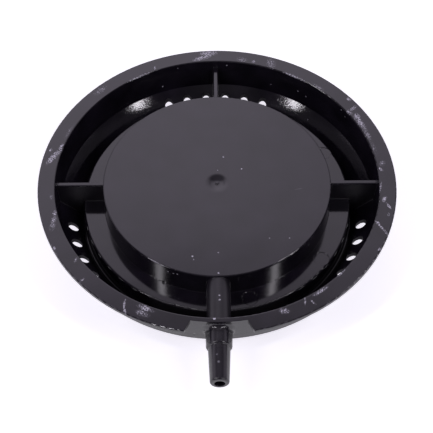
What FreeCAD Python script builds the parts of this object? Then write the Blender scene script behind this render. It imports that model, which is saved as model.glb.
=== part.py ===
import FreeCAD, Part
import math
import os

# Round air diffuser for a tank or pond, lying on its bubbling face with the
# underside of its moulded housing up. The table is at z = 0, the disc's axis is
# the Z axis, and the hose nozzle points along -Y. All sizes are in millimetres.

# Housing: overall
housing_height = 18.8        # rim face to flange face
flange_radius = 53.5
flange_width = 5.1
flange_thickness = 1.4
corner_round = 0.3           # moulded edges that show

# Housing: upright skirt, then the sloping shoulder down to the rim
skirt_wall = 1.45            # at the flange face
skirt_inner_draft = 2.8      # degrees
skirt_outer_draft = 3.6      # degrees
shoulder_height = 8.6        # rim face to where the shoulder starts inside
shoulder_wall = 1.2          # square to the slope
rim_thickness = 1.35         # under the bottom of the groove

# Housing: groove, ledge, centre drum and the recess for the stone
groove_width = 7.75          # skirt to ledge, at the flange face
groove_round = 0.5           # at the bottom of the groove
ledge_width = 6.45           # groove to drum, at the flange face
ledge_round = 0.5            # ledge's outer edge
ledge_depth = 9.9            # below the flange face
ledge_thickness = 1.5
drum_setback = 1.6           # drum plate below the flange face
drum_draft = 2.0             # degrees, outer face
drum_wall = 1.5              # at the plate
plate_thickness = 1.5
recess_wall = 1.5            # between the groove and the stone

# Housing: ribs across the trough
rib_thickness = 1.4          # at the top
rib_draft = 1.0              # degrees, each side
rib_round = 0.3              # along the top edges
rib_setback = 2.7            # rib top below the flange face
rib_angles = (0.0, 90.0, 180.0)

# Housing: vent holes, moulded straight down through the shoulder
vent_radius = 1.48
vent_inset = 3.3             # vent circle inside the top of the shoulder
vents_per_group = 6
vent_pitch = 8.1             # degrees
vent_group_angles = (90.0, 210.5, 329.5)

# Housing: air passage and hose nozzle
nozzle_setback = 5.35        # nozzle axis below the flange face
air_bore_radius = 1.5
spoke_radius = 3.4           # round top of the passage inside the skirt
collar_root_radius = 3.85
collar_end_radius = 3.6
collar_overhang = 1.6        # collar end past the flange
collar_blend = 1.1           # hollow round where the collar meets the skirt
collar_end_round = 0.6
spigot_root_radius = 3.1
spigot_tip_radius = 2.65
spigot_length = 10.5
spigot_lip_round = 0.65

# Housing: gap in the flange over the nozzle
notch_half_width = 7.4       # at the skirt
notch_flare = 27.0           # degrees that each side opens outwards

# Housing: marks left by moulding
gate_dimple_foot = 1.3       # radius of its floor
gate_dimple_lip = 3.0        # radius where it meets the plate
gate_dimple_depth = 0.35
gate_dimple_round = 6.0      # soft bends at foot and lip
gate_stub_radius = 0.6
gate_stub_tip_radius = 0.35
gate_stub_height = 0.35      # above the bottom of the dimple
gate_offset = 0.8            # from the disc's axis, towards the nozzle
ejector_radius = 2.3
ejector_depth = 0.12
ejector_places = ((-76.0, 0.0), (-37.0, 0.7), (27.0, 0.7))   # angle, offset from mid-ledge

# Porous stone and the sealant round it
stone_edge_gap = 0.6
stone_chamfer = 0.5
sealant_setback = 0.8        # sealant inside the stone's face

# Heights and radii that follow
flange_underside = housing_height - flange_thickness
skirt_inner_radius = flange_radius - flange_width
ledge_radius = skirt_inner_radius - groove_width
drum_radius = ledge_radius - ledge_width
chamber_radius = drum_radius - drum_wall
recess_radius = ledge_radius - recess_wall
stone_radius = recess_radius - stone_edge_gap
plate_top = housing_height - drum_setback
chamber_top = plate_top - plate_thickness
ledge_top = housing_height - ledge_depth
seat_height = ledge_top - ledge_thickness
rib_top = housing_height - rib_setback
nozzle_height = housing_height - nozzle_setback
drum_foot_radius = drum_radius + (plate_top - ledge_top) * math.tan(math.radians(drum_draft))
collar_reach = flange_radius + collar_overhang
spigot_reach = collar_reach + spigot_length

inner_lean = math.tan(math.radians(skirt_inner_draft))
outer_lean = math.tan(math.radians(skirt_outer_draft))
crease_radius = skirt_inner_radius - (housing_height - shoulder_height) * inner_lean
slope = math.atan((shoulder_height - rim_thickness) / (crease_radius - ledge_radius))
overshoot = 1.0              # how far a cutting tool runs past the face it opens
match = 0.01                 # how near an edge lies to the surface it belongs to

axis_origin = FreeCAD.Vector(0, 0, 0)
up = FreeCAD.Vector(0, 0, 1)
to_nozzle = FreeCAD.Vector(0, -1, 0)


def skirt_outer_radius(height):
    """Radius of the skirt's outer face."""
    return skirt_inner_radius + skirt_wall - (housing_height - height) * outer_lean


def shoulder_outer_radius(height):
    """Radius of the shoulder's outer face."""
    inner = crease_radius - (shoulder_height - height) / math.tan(slope)
    return inner + shoulder_wall / math.sin(slope)


def outer_crease_height():
    """Height where the skirt's outer face meets the shoulder's."""
    gap = skirt_outer_radius(0) - shoulder_outer_radius(0)
    return gap / (1 / math.tan(slope) - outer_lean)


def rounded_outline(corners):
    """Closed wire in the XZ plane through (radius, height, round) corners."""
    points = [FreeCAD.Vector(radius, 0, height) for radius, height, _ in corners]
    ends = []
    arcs = []
    for index, corner in enumerate(corners):
        here = points[index]
        back = points[index - 1] - here
        ahead = points[(index + 1) % len(points)] - here
        half = back.getAngle(ahead) / 2
        back.normalize()
        ahead.normalize()
        if corner[2] == 0:
            ends.append((here, here))
            continue
        reach = corner[2] / math.tan(half)
        start = here + back * reach
        finish = here + ahead * reach
        bisector = (back + ahead).normalize()
        middle = here + bisector * (corner[2] / math.sin(half) - corner[2])
        arcs.append(Part.Arc(start, middle, finish).toShape())
        ends.append((start, finish))
    lines = []
    for index, (start, _) in enumerate(ends):
        previous = ends[index - 1][1]
        if previous.distanceToPoint(start) > 1e-6:
            lines.append(Part.makeLine(previous, start))
    return Part.Wire(Part.__sortEdges__(lines + arcs))


def turned(corners):
    """Solid of revolution about Z from (radius, height, round) corners."""
    return Part.Face(rounded_outline(corners)).revolve(axis_origin, up, 360)


def housing_body():
    """Flange, skirt, shoulder, rim, recess, ledge and drum as one turned wall."""
    crease_out = outer_crease_height()
    return turned([
        (skirt_inner_radius, housing_height, corner_round),
        (flange_radius, housing_height, corner_round),
        (flange_radius, flange_underside, corner_round),
        (skirt_outer_radius(flange_underside), flange_underside, 0),
        (skirt_outer_radius(crease_out), crease_out, 0),
        (shoulder_outer_radius(0), 0, corner_round),
        (recess_radius, 0, 0),
        (recess_radius, seat_height, 0),
        (chamber_radius, seat_height, 0),
        (chamber_radius, chamber_top, 0),
        (0, chamber_top, 0),
        (0, plate_top, 0),
        (drum_radius, plate_top, corner_round),
        (drum_foot_radius, ledge_top, 0),
        (ledge_radius, ledge_top, ledge_round),
        (ledge_radius, rim_thickness, groove_round),
        (crease_radius, shoulder_height, 0),
    ])


def trough_filler(top):
    """Ring that fills the trough up to a height and ends inside the walls."""
    inside = drum_wall / 2
    return turned([
        (drum_radius - inside, top, 0),
        (skirt_inner_radius + inside, top, 0),
        (crease_radius + inside, shoulder_height, 0),
        (ledge_radius, rim_thickness - inside, 0),
        (ledge_radius - inside, ledge_top - inside, 0),
        (drum_radius - inside, ledge_top - inside, 0),
    ])


def ribs():
    """Thin drafted ribs from the drum to the skirt, trimmed by the trough."""
    filler = trough_filler(housing_height)
    half_top = rib_thickness / 2
    half_foot = half_top + rib_top * math.tan(math.radians(rib_draft))
    section = Part.Face(rounded_outline([
        (-half_foot, 0, 0),
        (half_foot, 0, 0),
        (half_top, rib_top, rib_round),
        (-half_top, rib_top, rib_round),
    ]))
    made = []
    for angle in rib_angles:
        plate = section.extrude(to_nozzle * flange_radius)
        plate.rotate(axis_origin, up, angle + 90)
        made.append(plate.common(filler))
    return made


def spoke():
    """Round-topped passage wall from the drum to the skirt, on the trough's floor."""
    centre = FreeCAD.Vector(0, 0, nozzle_height)
    round_top = Part.makeCylinder(spoke_radius, flange_radius, centre, to_nozzle)
    corner = FreeCAD.Vector(-spoke_radius, -flange_radius, 0)
    upright = Part.makeBox(2 * spoke_radius, flange_radius, nozzle_height, corner)
    return round_top.fuse(upright).common(trough_filler(housing_height))


def on_nozzle_axis(shape):
    """Turns a shape made about Z so that its +Z runs out along the nozzle."""
    shape.rotate(axis_origin, FreeCAD.Vector(1, 0, 0), 90)
    shape.translate(FreeCAD.Vector(0, 0, nozzle_height))
    return shape


def nozzle():
    """Collar and tapered spigot, turned as one from inside the skirt to the tip."""
    return on_nozzle_axis(turned([
        (0, skirt_inner_radius, 0),
        (collar_root_radius, skirt_inner_radius, 0),
        (collar_end_radius, collar_reach, collar_end_round),
        (spigot_root_radius, collar_reach, 0),
        (spigot_tip_radius, spigot_reach, spigot_lip_round),
        (0, spigot_reach, 0),
    ]))


def collar_radius(distance):
    """Radius of the collar at a distance from the disc's axis."""
    along = (distance - skirt_inner_radius) / (collar_reach - skirt_inner_radius)
    return collar_root_radius + (collar_end_radius - collar_root_radius) * along


def collar_root_edges(solid):
    """Edges where the collar comes out of the skirt."""
    found = []
    for edge in solid.Edges:
        middle = edge.valueAt((edge.FirstParameter + edge.LastParameter) / 2)
        from_nozzle_axis = math.hypot(middle.x, middle.z - nozzle_height)
        from_disc_axis = math.hypot(middle.x, middle.y)
        on_collar = abs(from_nozzle_axis - collar_radius(-middle.y)) < match
        on_skirt = abs(from_disc_axis - skirt_outer_radius(middle.z)) < match
        if on_collar and on_skirt:
            found.append(edge)
    return found


def air_bore():
    """Passage from the nozzle's tip into the air chamber."""
    return on_nozzle_axis(Part.makeCylinder(
        air_bore_radius, spigot_reach, FreeCAD.Vector(0, 0, chamber_radius - overshoot)))


def flange_notch():
    """Wedge of flange missing over the nozzle, cut back to the skirt's outer face."""
    far = flange_radius + overshoot
    far_half = notch_half_width + (far - skirt_inner_radius) * math.tan(math.radians(notch_flare))
    corners = [
        FreeCAD.Vector(-notch_half_width, -skirt_inner_radius, flange_underside),
        FreeCAD.Vector(notch_half_width, -skirt_inner_radius, flange_underside),
        FreeCAD.Vector(far_half, -far, flange_underside),
        FreeCAD.Vector(-far_half, -far, flange_underside),
    ]
    wedge = Part.Face(Part.makePolygon(corners + corners[:1])).extrude(up * flange_thickness)
    low_radius = skirt_outer_radius(flange_underside)
    high_radius = skirt_outer_radius(housing_height)
    base = FreeCAD.Vector(0, 0, flange_underside)
    return wedge.cut(Part.makeCone(low_radius, high_radius, flange_thickness, base, up))


def vent_holes():
    """Straight holes through the shoulder in evenly spaced groups."""
    holes = []
    for group_angle in vent_group_angles:
        first = group_angle - vent_pitch * (vents_per_group - 1) / 2
        for index in range(vents_per_group):
            angle = math.radians(first + vent_pitch * index)
            outward = FreeCAD.Vector(math.cos(angle), math.sin(angle), 0)
            centre = outward * (crease_radius - vent_inset)
            holes.append(Part.makeCylinder(vent_radius, shoulder_height, centre, up))
    return holes


def gate_mark():
    """Soft dimple in the drum plate, round the stub where the moulding was filled."""
    floor = plate_top - gate_dimple_depth
    dimple = turned([
        (0, floor, 0),
        (gate_dimple_foot, floor, gate_dimple_round),
        (gate_dimple_lip, plate_top, gate_dimple_round),
        (gate_dimple_lip + overshoot, plate_top, 0),
        (gate_dimple_lip + overshoot, plate_top + overshoot, 0),
        (0, plate_top + overshoot, 0),
    ])
    stub = turned([
        (0, floor - plate_thickness / 2, 0),
        (gate_stub_radius, floor - plate_thickness / 2, 0),
        (gate_stub_radius, floor, 0),
        (gate_stub_tip_radius, floor + gate_stub_height, 0),
        (0, floor + gate_stub_height, 0),
    ])
    mark = dimple.cut(stub)
    mark.translate(to_nozzle * gate_offset)
    return mark


def ejector_marks():
    """Very shallow round prints of the ejector pins in the ledge."""
    marks = []
    for angle, offset in ejector_places:
        turn = math.radians(angle)
        base = FreeCAD.Vector(math.cos(turn), math.sin(turn), 0)
        base *= (drum_radius + ledge_radius) / 2 + offset
        base.z = ledge_top - ejector_depth
        marks.append(Part.makeCylinder(ejector_radius, overshoot, base, up))
    return marks


def housing():
    """The whole one-piece moulding."""
    solid = housing_body().fuse(ribs() + [spoke()])
    solid = solid.cut(flange_notch())
    solid = solid.fuse(nozzle()).removeSplitter()
    solid = solid.makeFillet(collar_blend, collar_root_edges(solid))
    return solid.cut([air_bore(), gate_mark()] + vent_holes() + ejector_marks())


def porous_stone():
    """Bonded-grain disc that seats on the ledge's underside, flush with the rim."""
    return turned([
        (0, 0, 0),
        (stone_radius - stone_chamfer, 0, 0),
        (stone_radius, stone_chamfer, 0),
        (stone_radius, seat_height, 0),
        (0, seat_height, 0),
    ])


def sealant_bead():
    """Ring of sealant that fills the gap between the stone and the recess wall."""
    return turned([
        (stone_radius, sealant_setback, 0),
        (recess_radius, sealant_setback, 0),
        (recess_radius, seat_height, 0),
        (stone_radius, seat_height, 0),
    ])


def main():
    os.makedirs("parts", exist_ok=True)
    pieces = {
        "housing": housing(),
        "porous_stone": porous_stone(),
        "sealant_bead": sealant_bead(),
    }
    for name, shape in pieces.items():
        shape.exportStep(f"parts/{name}.step")
        print(name, len(shape.Solids), "solid", round(shape.Volume, 1), "mm3", shape.isValid())


main()
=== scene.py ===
import bpy
import bmesh
import math
from mathutils import Matrix, Vector


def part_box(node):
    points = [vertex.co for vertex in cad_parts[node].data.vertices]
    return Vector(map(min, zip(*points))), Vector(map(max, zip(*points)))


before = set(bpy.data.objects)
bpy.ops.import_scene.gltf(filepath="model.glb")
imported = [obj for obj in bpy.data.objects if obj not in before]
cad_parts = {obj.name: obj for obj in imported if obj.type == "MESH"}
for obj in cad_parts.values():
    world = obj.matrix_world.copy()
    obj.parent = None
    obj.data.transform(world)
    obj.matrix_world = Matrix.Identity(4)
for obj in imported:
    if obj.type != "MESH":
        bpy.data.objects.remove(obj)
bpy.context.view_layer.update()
mm = 0.001
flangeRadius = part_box("housing")[1].x
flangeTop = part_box("housing")[1].z
print("frame loaded, flange radius", round(flangeRadius / mm, 2),
      "height", round(flangeTop / mm, 2))


class Wire:                                     # an output socket that can be used in sums
    def __init__(self, paint, socket):
        self.paint = paint
        self.socket = socket

    def sum(self, operation, first, second):
        kind = "ShaderNodeVectorMath" if self.socket.type == "VECTOR" else "ShaderNodeMath"
        return self.paint.add(kind, {"operation": operation}, {0: first, 1: second})

    def __add__(self, other):
        return self.sum("ADD", self, other)

    def __radd__(self, other):
        return self.sum("ADD", other, self)

    def __sub__(self, other):
        return self.sum("SUBTRACT", self, other)

    def __rsub__(self, other):
        return self.sum("SUBTRACT", other, self)

    def __mul__(self, other):
        return self.sum("MULTIPLY", self, other)

    def __rmul__(self, other):
        return self.sum("MULTIPLY", other, self)

    def __truediv__(self, other):
        return self.sum("DIVIDE", self, other)

    def __rtruediv__(self, other):
        return self.sum("DIVIDE", other, self)

    def __pow__(self, other):
        return self.sum("POWER", self, other)

    def __rpow__(self, other):
        return self.sum("POWER", other, self)


class Paint:                                    # the nodes of one material, or of the world
    def __init__(self, owner, places="Object"):
        self.owner = owner
        owner.use_nodes = True
        self.tree = owner.node_tree
        self.tree.nodes.clear()
        self.place = self.add("ShaderNodeTexCoord", out=places)

    def add(self, kind, settings=None, inputs=None, out=0):
        made = self.tree.nodes.new(kind)
        for name, value in (settings or {}).items():
            if name == "stops":
                self.setStops(made.color_ramp, value)
            else:
                setattr(made, name, value)
        for name, value in (inputs or {}).items():
            if isinstance(value, Wire):
                self.tree.links.new(value.socket, made.inputs[name])
            else:
                made.inputs[name].default_value = value
        return Wire(self, made.outputs[out]) if made.outputs else made

    def setStops(self, ramp, stops):            # grey stops: position, shade
        while len(ramp.elements) < len(stops):
            ramp.elements.new(0.5)
        for element, (position, shade) in zip(ramp.elements, stops):
            element.position = position
            element.color = (shade, shade, shade, 1)

    def parts(self, vector):                    # x, y and z of a vector
        split = self.add("ShaderNodeSeparateXYZ", {}, {0: vector})
        return [Wire(self, socket) for socket in split.socket.node.outputs]

    def noise(self, perMillimetre, detail):
        return self.add("ShaderNodeTexNoise", {}, {
            "Vector": self.place, "Scale": perMillimetre / mm, "Detail": detail}, out="Fac")

    def rise(self, value, start, width):        # 0 up to start, 1 from start + width
        return self.add("ShaderNodeClamp", {}, {"Value": (value - start) / width})

    def ramp(self, value, start, width, low, high):
        return low + (high - low) * self.rise(value, start, width)

    def within(self, measures, limits):         # 1 where all limits hold, 0 where one doesn't
        share = 1
        for name, start, fade in limits:
            risen = self.rise(measures[name], start, abs(fade))
            share = share * (risen if fade > 0 else 1 - risen)
        return share

    def most(self, first, second):
        return self.add("ShaderNodeMath", {"operation": "MAXIMUM"}, {0: first, 1: second})

    def blend(self, amount, first, second, kind="MIX"):
        return self.add("ShaderNodeMix", {"data_type": "RGBA", "blend_type": kind}, {
            0: amount, 6: first, 7: second}, out=2)

    def spot(self, where, centre, size, turn=0):     # 1 at the centre, 0 at the edge of an oval
        moved = self.add("ShaderNodeMapping", {"vector_type": "TEXTURE"}, {
            "Vector": where, "Location": centre, "Rotation": (0, 0, math.radians(turn)),
            "Scale": size})
        return self.add("ShaderNodeTexGradient", {"gradient_type": "SPHERICAL"}, {
            "Vector": moved}, out="Fac")

    def bump(self, look, height, normal=None):  # look holds a strength and a depth in millimetres
        inputs = {"Strength": look["strength"], "Distance": look["depth"] * mm, "Height": height}
        if normal:
            inputs["Normal"] = normal
        return self.add("ShaderNodeBump", {}, inputs)

    def surface(self, colour, roughness, level, normal):
        return self.finish(self.add("ShaderNodeBsdfPrincipled", {}, {
            "Base Color": colour, "Roughness": roughness, "Specular IOR Level": level,
            "Normal": normal}))

    def finish(self, shader):
        world = isinstance(self.owner, bpy.types.World)
        kind = "ShaderNodeOutputWorld" if world else "ShaderNodeOutputMaterial"
        self.add(kind, {}, {"Surface": shader})
        return self.owner


def inMetres(*millimetres):
    return [value * mm for value in millimetres]


def dress(item, material):
    if not item.material_slots:
        item.data.materials.append(material)
    for slot in item.material_slots:
        slot.material = material


plastic = {
    "colour": (0.0038, 0.0028, 0.0058, 1), "paler": (0.0140, 0.0110, 0.0190, 1),
    "paleNoise": (0.12, 3),                     # per millimetre, detail
    "paleSpeckle": 0.3, "paleFrom": (0.45, 0.5),
    "level": 0.9,                               # strength of the gloss
    "smooth": 0.11,                             # roughness outside the places below
    "rough": {"ledge": 0.1, "ledgeEdge": 0.5, "drum": 0.13, "skirt": 0.22, "shoulder": 0.08,
              "outside": 0.24, "vents": 0.85, "ribs": 0.45, "passage": 0.38, "nozzle": 0.2},
    "unevenness": (0.8, 0.25, 0.15),            # of roughness: even share, clouds, speckles
    # the chalk colour also paints highlights on the flange's inner edge and on the plate's
    # front-left edge
    "chalkAndGlint": (0.64, 0.62, 0.72, 1), "chalkAndGlintRoughness": 0.7,
    "softEdge": 0.2, "edgeSamples": 6,          # millimetres that edges look rounded by
    "slope": 39.3,                              # radius less height on the shoulder's inner face
    "wave": {"noise": (0.06, 1), "strength": 0.5, "depth": 0.15},
    "drumTilt": 0.3, "drumMiddle": 13,          # the drum's wall looks a little steeper than it is
    "grain": {"noise": (5.0, 2), "strength": 0.35, "depth": 0.02, "even": 0.15},
    "coarse": {"noise": (2.0, 1), "shoulder": 3, "bends": 7},
    "chalkAndGlintHeight": 2, "dentDepth": 20}

# where the housing's places lie, in millimetres: measure, start and width of the fade.
# A width below 0 ends the place there. A place with two lists is where either of them holds.
places = {
    "ledge": [[("up", 0.9, 0.05), ("height", 8.6, 0.1), ("height", 9.2, -0.2)]],
    "ledgeEdge": [[("radius", 40.2, 0.2), ("radius", 41.2, -0.2), ("height", 9.0, -0.1),
                   ("acrossSquared", 350, -100)]],
    "drum": [[("height", 9.0, 0.1), ("radius", 34.8, -0.1), ("up", 0.3, -0.2)]],
    "skirt": [[("radius", 47.6, 0.2), ("height", 8.6, 0.2), ("height", 18.4, -0.2)]],
    "shoulder": [[("slope", -0.7, 0.2), ("slope", 0.5, -0.2), ("radius", 41.3, 0.5)]],
    "outside": [[("slope", -1.2, -0.3), ("height", 9.0, -0.5)],
                [("radius", 48.7, 0.2), ("height", 17.6, -0.2)]],
    "vents": [[("upSquared", 0.01, -0.02), ("radius", 42.6, 0.1), ("radius", 46.4, -0.1),
               ("height", 7.6, -0.1)]],
    "ribs": [[("alongSquared", 1.2, -0.4), ("acrossSquared", 1180, 20), ("height", 3.0, 1.0),
              ("height", 15.6, -0.2)],
             [("acrossSquared", 1.2, -0.4), ("along", 34.4, 0.3), ("height", 3.0, 1.0),
              ("height", 15.6, -0.2)]],
    "passage": [[("front", 33.9, 0.4), ("acrossSquared", 12.5, -3.0), ("height", 9.6, 0.5),
                 ("height", 17.3, -0.3)]],
    "nozzle": [[("front", 49.3, 0.3), ("acrossSquared", 24.0, -3.0), ("height", 17.4, -0.2)]],
    "bends": [[("front", 49.3, 0.3), ("front", 51.3, -0.4), ("acrossSquared", 24.0, -3.0),
               ("height", 14.5, 1.0), ("height", 17.4, -0.2)]]}

wear = {
    "speckleNoise": (2.6, 4), "scatterNoise": (0.9, 3),      # per millimetre, detail
    "ring": 51,                                 # radius of the flange's middle
    "spread": 1.25,                             # how far past its own size a rub fades out
    "rubFrom": (18.2, 0.4),                     # height of the flange's face
    "rubSpeckle": (0.44, 0.22, 0.2, 2.4), "rubScatter": (0.35, 0.3, 0.5, 1.5),
    "rubClearness": (0.1, 0.75), "haze": 0.13,
    "rimStretch": (0.5, 3, 1), "rimNoise": 1.3, "rimDetail": 3, "rimStreaks": (0.56, 0.2),
    "rimRadius": (52.8, 0.4), "rimHeight": (17.6, 0.2), "rimStrength": 0.28,
    "grainSpeckle": (0.42, 0.12, 0.35, 1.65), "grainEdge": (0.0, 0.6),
    "scratchEdge": (0.0, 0.5), "nickEdge": (0.0, 0.7)}

# chalky rubs on the flange, and painted highlights along its inner edge (the rows at 58.5 and -45
# degrees): angle, radius, half length, half width, tilt, strength
rubsAndGlints = [
    (3.0, 49.4, 0.9, 0.45, -35, 0.9), (5.5, 50.3, 1.3, 0.9, 30, 0.4),
    (13, 49.3, 3.5, 0.9, 0, 0.2), (19.5, 49.4, 3.2, 0.9, 0, 0.42), (25.5, 49.7, 3.6, 1.0, 0, 0.7),
    (28.2, 50.0, 1.6, 1.0, 20, 0.8), (31.5, 49.2, 1.3, 0.9, 0, 0.6),
    (32.3, 51.2, 1.7, 0.6, 75, 0.75), (36.5, 52.5, 0.9, 0.6, 0, 0.8),
    # the row at 58.5 degrees is a painted highlight along the flange's inner edge
    (48, 49.2, 2.5, 0.6, 0, 0.45), (58.5, 48.6, 4.0, 0.35, 0, 0.9), (69, 50.6, 2.5, 1.6, 60, 0.4),
    (75.5, 49.8, 0.8, 0.5, -20, 1.0), (80, 49.8, 2.0, 1.2, 0, 0.35),
    (92.6, 52.2, 2.7, 1.2, 0, 1.0), (94.8, 50.3, 3.2, 0.9, -15, 1.0),
    (113.4, 49.7, 0.7, 0.35, -60, 0.8), (120.5, 48.6, 4.5, 0.3, 0, 0.75),
    (136, 51.5, 3.0, 1.2, 0, 0.3), (167.5, 51.9, 0.7, 0.45, 0, 0.8),
    (170, 50.2, 3.7, 0.9, 25, 1.0), (171.6, 50.9, 1.7, 0.8, 10, 0.95),
    (165.5, 49.2, 1.7, 0.5, 10, 0.85), (158, 49.3, 3.0, 0.5, 0, 0.3),
    (-172, 49.5, 1.0, 0.5, 0, 0.4), (-165, 49.2, 1.1, 0.6, 20, 0.8),
    (-162.3, 49.9, 1.4, 0.7, 30, 0.95), (-160, 50.8, 2.0, 1.0, 30, 0.35),
    (-151.5, 53, 0.8, 0.45, 0, 0.7), (-144, 49.6, 1.2, 0.5, 60, 0.4),
    (-136.5, 52.8, 1.5, 0.35, 85, 0.5), (-119.5, 52.3, 2.4, 0.3, 50, 0.85),
    (-120.6, 50.6, 1.5, 0.3, 65, 0.6), (-114, 51.4, 2.2, 1.0, 0, 0.5),
    (-113.8, 49.6, 2.6, 0.8, 0, 0.65), (-114.6, 49.0, 0.8, 0.4, 0, 0.9),
    (-69, 49.9, 1.5, 0.9, 20, 0.65), (-61.5, 49.6, 1.5, 0.3, -60, 0.55),
    (-59.5, 51.0, 1.1, 0.35, 80, 0.55), (-55, 49.2, 2.7, 0.6, 0, 0.75),
    # the row at -45 degrees is a painted glint along the flange's inner edge
    (-45, 48.6, 1.7, 0.35, 0, 0.9), (-30, 53, 0.7, 0.45, 0, 0.7),
    (-22.4, 51.6, 2.5, 0.4, -55, 0.65), (-20.6, 49.6, 1.2, 0.5, -50, 1.0),
    (-16, 51.8, 0.7, 0.45, 0, 0.55), (-12.5, 51.4, 1.3, 0.4, -40, 1.0),
    (-10, 50.0, 1.2, 0.6, 15, 1.0), (-5, 48.7, 2.3, 0.35, 10, 0.65)]

# single pale grains and chips: x, y, z, radius, strength
grains = [
    (2.0, 9.2, 17.2, 0.32, 0.8), (0.2, 4.0, 17.2, 0.24, 0.6), (7.5, 4.5, 17.2, 0.28, 0.9),
    (-7.3, -27.3, 17.2, 0.3, 1.0), (-6.9, -28.4, 17.2, 0.25, 0.5), (0.1, -26.1, 17.2, 0.28, 0.45),
    (0.1, -33.0, 17.2, 0.36, 0.8), (14.9, -21.2, 17.2, 0.25, 0.6), (20.7, -21.3, 17.2, 0.25, 0.6),
    (0.2, -40.1, 16.9, 0.35, 0.6), (0.3, -41.6, 16.9, 0.4, 0.55), (-1.25, -48.7, 18.8, 0.5, 1.0),
    (-0.7, -58.3, 16.4, 0.4, 0.16), (-0.2, -60.5, 16.3, 0.45, 0.2),
    (-14.26, -31.15, 15.3, 0.3, 0.8), (-12.7, -31.8, 15.3, 0.3, 0.8),
    (-11.6, -32.2, 15.5, 0.3, 0.8), (-17.5, 44.7, 11.0, 0.3, 0.8), (-12.4, 46.7, 17.4, 0.25, 0.5),
    (3.7, 48.2, 17.1, 0.3, 0.5), (18.2, 44.5, 11.9, 0.3, 0.6), (26.9, 39.9, 13.4, 0.3, 0.7),
    (29.4, 38.1, 12.8, 0.28, 0.6), (39.6, 27.7, 17.6, 0.3, 0.7), (40.7, 25.9, 16.5, 0.28, 0.5),
    (30.2, 33.9, 6.2, 0.25, 0.4)]

# worn lines, the first two a painted highlight along the plate's front-left edge: x, y, z, half
# length, half width, turn, strength
scratchesAndGlints = [
    (-18.2, -28.8, 17.15, 2.6, 0.2, -32.4, 0.34), (-15.9, -30.2, 17.05, 1.3, 0.16, -27.8, 0.22),
    (24.4, -3.4, 17.2, 1.6, 0.12, 12, 0.1), (-27.8, 20.0, 17.2, 1.2, 0.12, 40, 0.12)]

# small dents: x, y, z, half sizes along x, y, z
nicks = [
    (-6.85, -48.8, 10.6, 0.35, 1, 0.9), (-6.9, -48.7, 8.2, 0.3, 1, 0.8),
    (-4.2, -49.5, 14.1, 0.3, 1, 0.6), (-15.7, -30.9, 9.2, 0.9, 1, 0.35)]


def chalkAndGlintOn(p, ring, radius, height, speckle):       # how much of the surface is worn to chalk, with the painted highlights on the flange's and plate's edges
    rubAndGlint = 0
    # the rubs include two painted highlights along the flange's inner edge
    for angle, away, halfLength, halfWidth, tilt, strength in rubsAndGlints:
        centre = (math.radians(angle) * wear["ring"], away, 0)
        size = (halfLength * wear["spread"], halfWidth * wear["spread"], 1)
        rubAndGlint = p.most(p.spot(ring, centre, size, tilt) * strength, rubAndGlint)
    rubAndGlint = rubAndGlint * p.rise(height, *wear["rubFrom"])
    haze = rubAndGlint * wear["haze"]
    scattered = p.noise(*wear["scatterNoise"])
    rubAndGlint = rubAndGlint * p.ramp(speckle, *wear["rubSpeckle"]) * p.ramp(scattered, *wear["rubScatter"])
    rubAndGlint = p.most(p.rise(rubAndGlint, *wear["rubClearness"]), haze)

    along = p.add("ShaderNodeMapping", {}, {"Vector": ring, "Scale": wear["rimStretch"]})
    streak = p.add("ShaderNodeTexNoise", {}, {
        "Vector": along, "Scale": wear["rimNoise"], "Detail": wear["rimDetail"]}, out="Fac")
    rim = p.rise(streak, *wear["rimStreaks"]) * p.rise(radius, *wear["rimRadius"])
    rubAndGlint = p.most(rubAndGlint, rim * p.rise(height, *wear["rimHeight"]) * wear["rimStrength"])

    grain = 0
    for x, y, z, size, strength in grains:
        dot = p.spot(p.place, inMetres(x, y, z), inMetres(size, size, size))
        grain = p.most(p.rise(dot, *wear["grainEdge"]) * strength, grain)
    grain = grain * p.ramp(speckle, *wear["grainSpeckle"])
    # the first two lines are a painted highlight on the plate's front-left edge
    for x, y, z, halfLength, halfWidth, turn, strength in scratchesAndGlints:
        line = p.spot(p.place, inMetres(x, y, z), inMetres(halfLength, halfWidth, halfWidth), turn)
        grain = p.most(p.rise(line, *wear["scratchEdge"]) * strength, grain)
    return p.most(rubAndGlint, grain)


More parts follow.
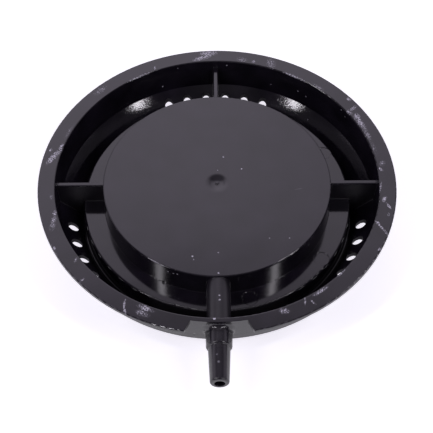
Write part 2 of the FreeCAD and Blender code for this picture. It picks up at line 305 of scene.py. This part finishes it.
def blackPlastic():
    p = Paint(bpy.data.materials.new("blackPlastic"))
    x, y, z = (part / mm for part in p.parts(p.place))
    radius = (x * x + y * y) ** 0.5
    up = p.parts(p.add("ShaderNodeNewGeometry", out="Normal"))[2]
    angle = p.add("ShaderNodeMath", {"operation": "ARCTAN2"}, {0: y, 1: x})
    ring = p.add("ShaderNodeCombineXYZ", {}, {0: angle * wear["ring"], 1: radius})
    speckle = p.noise(*wear["speckleNoise"])
    chalkAndGlint = chalkAndGlintOn(p, ring, radius, z, speckle)

    measures = {
        "height": z, "radius": radius, "slope": z - radius + plastic["slope"],
        "up": up, "upSquared": up * up, "front": y * -1, "along": y,
        "alongSquared": y * y, "acrossSquared": x * x}
    inside = {}
    roughness = plastic["smooth"]
    for name, choices in places.items():
        inside[name] = p.within(measures, choices[0])
        for limits in choices[1:]:
            inside[name] = p.most(inside[name], p.within(measures, limits))
        if name in plastic["rough"]:
            roughness = roughness + inside[name] * (plastic["rough"][name] - roughness)
    cloud = p.noise(*plastic["paleNoise"])
    even, cloudy, speckled = plastic["unevenness"]
    roughness = roughness * (even + cloudy * cloud + speckled * speckle)
    roughness = roughness + chalkAndGlint * (plastic["chalkAndGlintRoughness"] - roughness)

    pale = p.rise(cloud + plastic["paleSpeckle"] * speckle, *plastic["paleFrom"])
    colour = p.blend(pale, plastic["colour"], plastic["paler"])
    # chalk colour over worn places and over the painted highlights
    colour = p.blend(chalkAndGlint, colour, plastic["chalkAndGlint"])

    edges = p.add("ShaderNodeBevel", {"samples": plastic["edgeSamples"]}, {
        "Radius": plastic["softEdge"] * mm})
    upright = inside["drum"] * (z - plastic["drumMiddle"]) * plastic["drumTilt"]
    wave = p.bump(plastic["wave"], p.noise(*plastic["wave"]["noise"]) + upright, edges)

    dent = 0
    for nx, ny, nz, *size in nicks:
        hollow = p.spot(p.place, inMetres(nx, ny, nz), inMetres(*size))
        dent = p.most(p.rise(hollow, *wear["nickEdge"]), dent)
    grain, coarse = plastic["grain"], plastic["coarse"]
    rough = p.most(p.most(inside["shoulder"], inside["passage"]), inside["outside"])
    lumpy = p.most(inside["shoulder"] * coarse["shoulder"], inside["bends"] * coarse["bends"])
    relief = p.noise(*grain["noise"]) * (grain["even"] + rough) + p.noise(*coarse["noise"]) * lumpy
    relief = relief + chalkAndGlint * speckle * plastic["chalkAndGlintHeight"] - dent * plastic["dentDepth"]
    return p.surface(colour, roughness, plastic["level"], p.bump(grain, relief, wave))


# the pit colour is painted shade in the stone's pores, where the relief is lowest
stone = {
    "pale": (0.66, 0.63, 0.56, 1), "dark": (0.42, 0.40, 0.36, 1), "pitShade": (0.16, 0.15, 0.135, 1),
    "grainsPerMillimetre": 1.6, "finerBy": 2.3,
    "cloudNoise": (0.05, 2), "grainShare": 0.7, "cloudShare": 0.6, "darkFrom": (0.35, 0.7),
    "finePits": 0.5, "pitsFrom": (0.72, 0.3),
    "strength": 0.9, "depth": 0.25, "fineRelief": 0.4,
    "roughness": 0.92, "smoother": 0.1, "level": 0.3}


def bondedStone():
    p = Paint(bpy.data.materials.new("bondedStone"))
    scale = stone["grainsPerMillimetre"] / mm
    cells = {"Vector": p.place, "Scale": scale}
    smallCells = {"Vector": p.place, "Scale": scale * stone["finerBy"]}
    shade = p.parts(p.add("ShaderNodeTexVoronoi", {}, cells, out="Color"))[0]
    deep = p.add("ShaderNodeTexVoronoi", {}, cells, out="Distance")
    small = p.add("ShaderNodeTexVoronoi", {}, smallCells, out="Distance")
    cloud = p.noise(*stone["cloudNoise"])
    dark = p.rise(shade * stone["grainShare"] + cloud * stone["cloudShare"], *stone["darkFrom"])
    # darker where the relief is lowest: painted shade in the pits
    shadedPits = p.rise(deep + small * stone["finePits"], *stone["pitsFrom"])
    colour = p.blend(shadedPits, p.blend(dark, stone["pale"], stone["dark"]), stone["pitShade"])
    bump = p.bump(stone, 1 - deep - small * stone["fineRelief"])
    return p.surface(colour, stone["roughness"] - stone["smoother"] * shade, stone["level"], bump)


sealant = {
    "colour": (0.13, 0.13, 0.135, 1), "paler": (0.2, 0.2, 0.205, 1),
    "lumpNoise": (0.35, 2), "fineNoise": (4.0, 2), "fineShare": 0.2, "palerFrom": (0.4, 0.4),
    "strength": 0.6, "depth": 0.3, "fineRelief": 0.1,
    "roughness": 0.42, "rougher": 0.2, "level": 0.45}


def curedSealant():
    p = Paint(bpy.data.materials.new("curedSealant"))
    lumps = p.noise(*sealant["lumpNoise"])
    fine = p.noise(*sealant["fineNoise"])
    paler = p.rise(lumps + sealant["fineShare"] * fine, *sealant["palerFrom"])
    colour = p.blend(paler, sealant["colour"], sealant["paler"])
    roughness = sealant["roughness"] + sealant["rougher"] * fine
    bump = p.bump(sealant, lumps + sealant["fineRelief"] * fine)
    return p.surface(colour, roughness, sealant["level"], bump)


dress(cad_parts["housing"], blackPlastic())
dress(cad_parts["porous_stone"], bondedStone())
dress(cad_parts["sealant_bead"], curedSealant())
print("materials on", len(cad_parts), "nodes")

view = {
    "lens": 84.639, "sensor": 36, "clip": (0.01, 100),
    "tilt": 53.8287, "turn": -0.6,              # degrees down and round
    "stand": (-0.00313, -3.53707, 4.46716)}     # in flange radii, from the flange's centre


def makeCamera():
    data = bpy.data.cameras.new("camera")
    data.lens, data.sensor_width = view["lens"], view["sensor"]
    data.clip_start, data.clip_end = view["clip"]
    camera = bpy.data.objects.new("camera", data)
    bpy.context.scene.collection.objects.link(camera)
    place = Matrix.Translation(Vector(view["stand"]) * flangeRadius + Vector((0, 0, flangeTop)))
    tilt = Matrix.Rotation(math.radians(90 - view["tilt"]), 4, "X")
    camera.matrix_world = Matrix.Rotation(math.radians(view["turn"]), 4, "Z") @ place @ tilt
    bpy.context.scene.camera = camera


softbox = {
    "azimuth": 58, "elevation": 46, "lean": 5,       # degrees to each side of the front, up, turned
    "distance": 0.65, "width": 0.05, "height": 0.46,
    "radiance": 15.0, "tint": (1.0, 0.96, 1.04)}


def makeSoftbox(name, side):
    area = bpy.data.lights.new(name, "AREA")
    area.shape = "RECTANGLE"
    area.size, area.size_y = softbox["width"], softbox["height"]
    area.energy = softbox["radiance"] * math.pi * area.size * area.size_y
    area.color = softbox["tint"]
    azimuth, elevation = math.radians(softbox["azimuth"]) * side, math.radians(softbox["elevation"])
    away = Vector((math.sin(azimuth) * math.cos(elevation),
                   -math.cos(azimuth) * math.cos(elevation), math.sin(elevation)))
    lamp = bpy.data.objects.new(name, area)
    lamp.location = away * softbox["distance"]
    lean = Matrix.Rotation(math.radians(-softbox["lean"]) * side, 3, "Z")
    lamp.rotation_euler = (away.to_track_quat("Z", "Y").to_matrix() @ lean).to_euler()
    bpy.context.scene.collection.objects.link(lamp)


# white paper sweep: height of a direction, then how bright the sweep is there
sweep = {
    "behind": [(0.0, 0.96), (0.70, 0.96), (0.79, 0.88), (0.82, 0.76), (0.84, 0.60), (0.853, 0.44),
               (0.87, 0.31), (0.9, 0.22), (1.0, 0.2)],
    "front": [(0.0, 0.5), (0.1, 0.35), (0.25, 0.18), (0.42, 0.1), (0.8, 0.1), (1.0, 0.2)],
    "turn": (-0.05, 0.25),                      # where the front gives way to what is behind
    "rightFrom": 0.01, "rightMost": 0.2, "rightDimming": 1.3,
    "sideFrom": (0.22, 0.2), "sideFoot": (0.02, 0.1), "sideDimming": 0.4,
    "highFrom": (0.55, 0.15), "highSideDimming": 0.35,
    "tint": (1.04, 0.96, 1.13, 1), "backdrop": (1, 1, 1, 1)}


def makeWorld():
    world = bpy.data.worlds.new("studio")
    bpy.context.scene.world = world
    p = Paint(world, "Generated")
    x, y, z = p.parts(p.place)
    behind = p.add("ShaderNodeValToRGB", {"stops": sweep["behind"]}, {0: z})
    front = p.add("ShaderNodeValToRGB", {"stops": sweep["front"]}, {0: z})
    shade = p.blend(p.rise(y, *sweep["turn"]), front, behind)
    right = p.add("ShaderNodeClamp", {}, {
        "Value": x - sweep["rightFrom"], "Max": sweep["rightMost"]})
    aside = p.rise((x * x) ** 0.5, *sweep["sideFrom"]) * p.rise(z, *sweep["sideFoot"])
    high = sweep["highSideDimming"] * p.rise(z, *sweep["highFrom"])
    kept = (1 - sweep["rightDimming"] * right) * (1 - aside * (sweep["sideDimming"] + high))
    dimmed = p.add("ShaderNodeVectorMath", {"operation": "SCALE"}, {0: shade, "Scale": kept})
    tinted = p.blend(1.0, dimmed, sweep["tint"], "MULTIPLY")
    seen = p.blend(p.add("ShaderNodeLightPath", out="Is Camera Ray"), tinted, sweep["backdrop"])
    p.finish(p.add("ShaderNodeBackground", {}, {"Color": seen, "Strength": 1.0}))


paper = {
    "size": 30, "gap": 0.05,                    # metres, and millimetres below the resting faces
    "colour": (0.87, 0.9, 0.86, 1), "fibreNoise": (0.4, 2), "fibreRoughness": 0.2,
    "glow": 0.69, "mirroredGlow": 0.5, "glowTint": (0.99, 0.955, 1.055, 1)}


def makeFloor():
    mesh = bpy.data.meshes.new("floor")
    bm = bmesh.new()
    bmesh.ops.create_grid(bm, x_segments=1, y_segments=1, size=paper["size"])
    bm.to_mesh(mesh)
    bm.free()
    floor = bpy.data.objects.new("floor", mesh)
    floor.location.z = -paper["gap"] * mm
    bpy.context.scene.collection.objects.link(floor)
    p = Paint(bpy.data.materials.new("paper"))
    fibre = p.noise(*paper["fibreNoise"])
    sheet = p.add("ShaderNodeBsdfDiffuse", {}, {
        "Color": paper["colour"], "Roughness": paper["fibreRoughness"] * fibre})
    direct, glossy, clear = (p.add("ShaderNodeLightPath", out="Is %s Ray" % kind)
                             for kind in ("Camera", "Glossy", "Transmission"))
    seen = paper["glow"] * direct + paper["mirroredGlow"] * p.most(glossy, clear)
    glow = p.add("ShaderNodeEmission", {}, {"Color": paper["glowTint"], "Strength": seen})
    dress(floor, p.finish(p.add("ShaderNodeAddShader", {}, {0: sheet, 1: glow})))


makeCamera()
makeSoftbox("softboxLeft", -1)
makeSoftbox("softboxRight", 1)
makeWorld()
makeFloor()
print("camera, lights and floor")

bpy.context.scene.view_settings.view_transform = "Standard"
